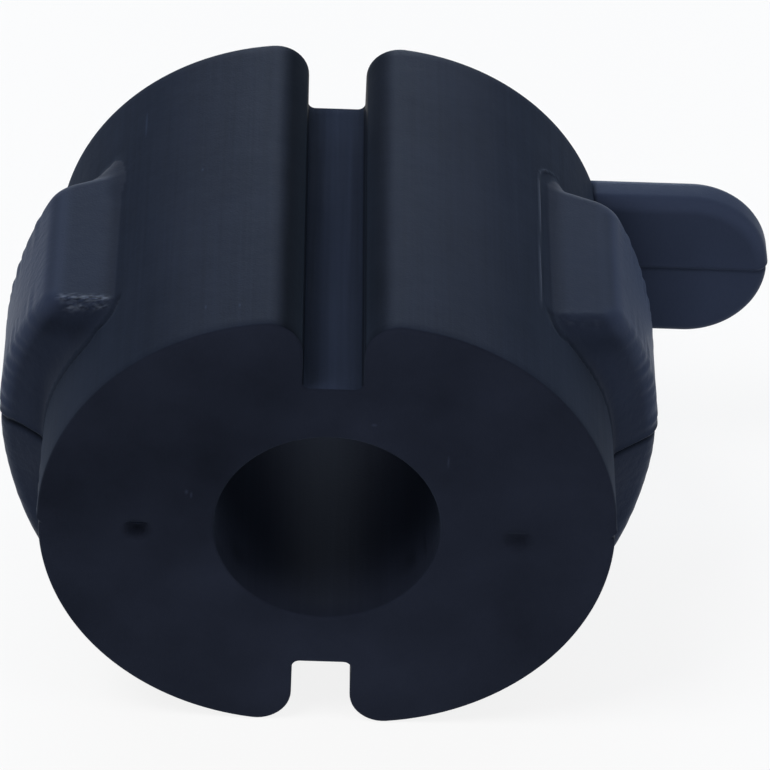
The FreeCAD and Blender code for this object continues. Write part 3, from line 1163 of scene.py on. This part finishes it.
def place_camera():
    """The camera stands in front and above, and leans a little to one side."""
    forward = way_to(CAMERA_YAW, -CAMERA_PITCH)
    level_right = Vector((math.cos(CAMERA_YAW), -math.sin(CAMERA_YAW), 0))
    level_up = level_right.cross(forward)
    right = math.cos(CAMERA_ROLL) * level_right + math.sin(CAMERA_ROLL) * level_up
    up = math.cos(CAMERA_ROLL) * level_up - math.sin(CAMERA_ROLL) * level_right
    data = bpy.data.cameras.new("camera")
    data.lens = CAMERA_LENS
    data.sensor_width = CAMERA_SENSOR
    data.clip_start, data.clip_end = CAMERA_CLIP
    camera = bpy.data.objects.new("camera", data)
    turn = Matrix((right, up, -forward)).transposed().to_4x4()
    camera.matrix_world = Matrix.Translation(Vector(CAMERA_PLACE) * MM) @ turn
    bpy.context.scene.collection.objects.link(camera)
    bpy.context.scene.camera = camera


def white_where_seen(tree, lit, share):
    """Mix plain white into a shader, by a share, where it is seen or mirrored."""
    path = tree.nodes.new("ShaderNodeLightPath")
    seen = path.outputs["Is Camera Ray"]
    for other in ("Is Glossy Ray", "Is Transmission Ray"):
        seen = add_step(tree, "ShaderNodeMath", "MAXIMUM", (seen, path.outputs[other])).outputs[0]
    factor = add_step(tree, "ShaderNodeMath", "MULTIPLY", (seen, share)).outputs[0]
    white = tree.nodes.new("ShaderNodeEmission")
    white.inputs["Color"].default_value = (1, 1, 1, 1)
    white.inputs["Strength"].default_value = 1.0
    mix = tree.nodes.new("ShaderNodeMixShader")
    for socket, value in zip(mix.inputs, (factor, lit, white.outputs[0])):
        feed(tree, socket, value)
    return mix.outputs[0]


def place_floor(height):
    mesh = bpy.data.meshes.new("floor")
    corners = [(x * FLOOR_HALF, y * FLOOR_HALF, height)
               for x, y in ((-1, -1), (1, -1), (1, 1), (-1, 1))]
    mesh.from_pydata(corners, [], [(0, 1, 2, 3)])
    floor = bpy.data.objects.new("floor", mesh)
    bpy.context.scene.collection.objects.link(floor)
    material = bpy.data.materials.new("floor")
    material.use_nodes = True
    tree = material.node_tree
    shader = tree.nodes["Principled BSDF"]
    shader.inputs["Base Color"].default_value = (FLOOR_TONE, FLOOR_TONE, FLOOR_TONE, 1)
    shader.inputs["Roughness"].default_value = FLOOR_ROUGHNESS
    shader.inputs["Specular IOR Level"].default_value = 0.0
    shown = white_where_seen(tree, shader.outputs[0], FLOOR_WHITENESS)
    tree.links.new(shown, tree.nodes["Material Output"].inputs["Surface"])
    floor.data.materials.append(material)


def light_world():
    """A faint light from all round, and a white studio where it is seen or mirrored."""
    world = bpy.data.worlds.new("studio")
    world.use_nodes = True
    bpy.context.scene.world = world
    tree = world.node_tree
    lit = tree.nodes["Background"]
    lit.inputs["Color"].default_value = (1, 1, 1, 1)
    lit.inputs["Strength"].default_value = STUDIO_STRENGTH
    shown = white_where_seen(tree, lit.outputs[0], 1.0)
    tree.links.new(shown, tree.nodes["World Output"].inputs["Surface"])


def place_lamp(name, azimuth, elevation, size, power, colour):
    """A square or oblong lamp that looks at the bushing."""
    out = way_to(math.radians(azimuth), math.radians(elevation))
    data = bpy.data.lights.new(name, "AREA")
    data.shape = "RECTANGLE"
    data.size, data.size_y = size
    data.energy = power
    data.color = colour
    lamp = bpy.data.objects.new(name, data)
    lamp.location = out * LAMP_DISTANCE
    lamp.rotation_mode = "QUATERNION"
    lamp.rotation_quaternion = (-out).to_track_quat("-Z", "Y")
    bpy.context.scene.collection.objects.link(lamp)


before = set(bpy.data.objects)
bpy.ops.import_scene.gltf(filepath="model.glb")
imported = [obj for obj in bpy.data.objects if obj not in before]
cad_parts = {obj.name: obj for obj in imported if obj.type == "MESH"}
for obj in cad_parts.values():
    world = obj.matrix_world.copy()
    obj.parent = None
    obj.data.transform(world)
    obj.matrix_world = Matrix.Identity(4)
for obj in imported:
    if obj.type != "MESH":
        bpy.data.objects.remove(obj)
bpy.context.scene.view_settings.view_transform = "Standard"
cad_box = [list(corner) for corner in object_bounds()]
place_camera()
body = body_mesh().make("body")
tongue = clean_faces(tongue_mesh()).make("tongue")
bushing = join_pieces(body, tongue, "bushing_rubber")
finish_skin(bushing, cad_box)
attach(bushing, "root")
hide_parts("bushing")
place_floor(cad_box[0][2])
light_world()
for lamp in LAMPS:
    place_lamp(*lamp)
